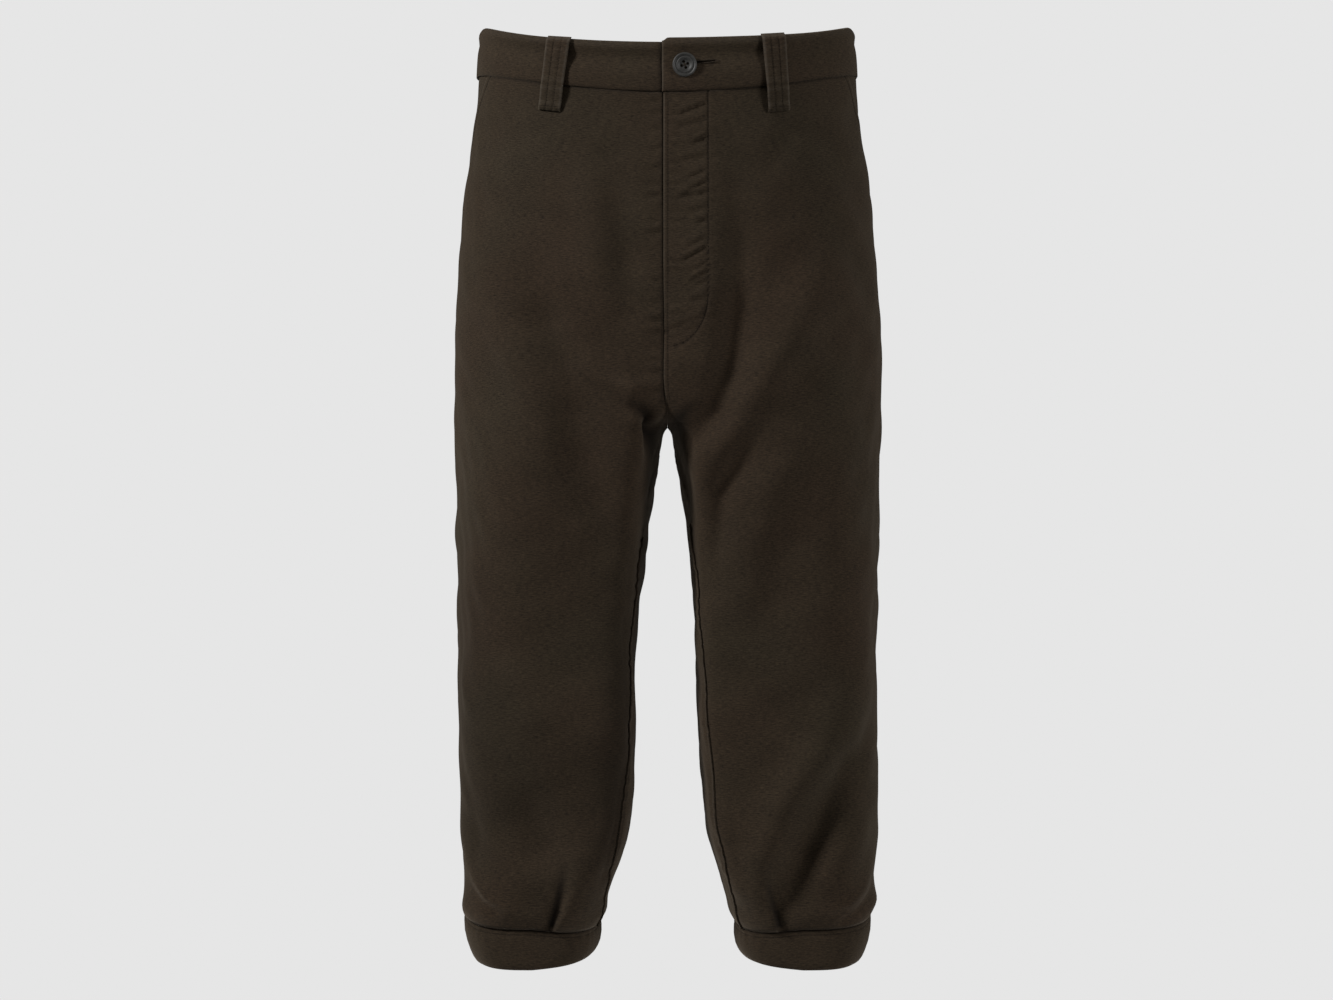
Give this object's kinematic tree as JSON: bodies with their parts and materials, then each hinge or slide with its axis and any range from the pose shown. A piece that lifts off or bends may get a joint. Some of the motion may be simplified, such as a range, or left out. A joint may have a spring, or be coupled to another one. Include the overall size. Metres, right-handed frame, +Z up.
{
  "type": "knee breeches",
  "caption": "Hollow worn knee breeches in brushed cotton, with a fly front, slanted pockets, belt loops, a waist button and gathered cuffs below the knee.",
  "frame": {"origin": "centre of the waist at half the height of the waistband's side, where the wearer's waist holds the garment", "axes": "+Z up along the body, front facing -Y, the wearer's left on +X"},
  "size_m": [0.3468, 0.2745, 0.7655],
  "materials": {
    "moleskin": "brushed cotton moleskin with a short nap, dark olive brown",
    "horn": "satin, dark grey horn look"
  },
  "bodies": {
    "root": {"front_right": "moleskin", "front_left": "moleskin", "back_right": "moleskin", "back_left": "moleskin", "pocket_bearer_right": "moleskin", "pocket_bearer_left": "moleskin", "waistband_right": "moleskin", "waistband_left": "moleskin", "fly_facing": "moleskin", "cuff_right": "moleskin", "cuff_left": "moleskin", "belt_loop_front_right": "moleskin", "belt_loop_front_left": "moleskin", "belt_loop_back_right": "moleskin", "belt_loop_back_left": "moleskin", "belt_loop_centre_back": "moleskin", "waist_button": "horn"}
  },
  "joints": []
}
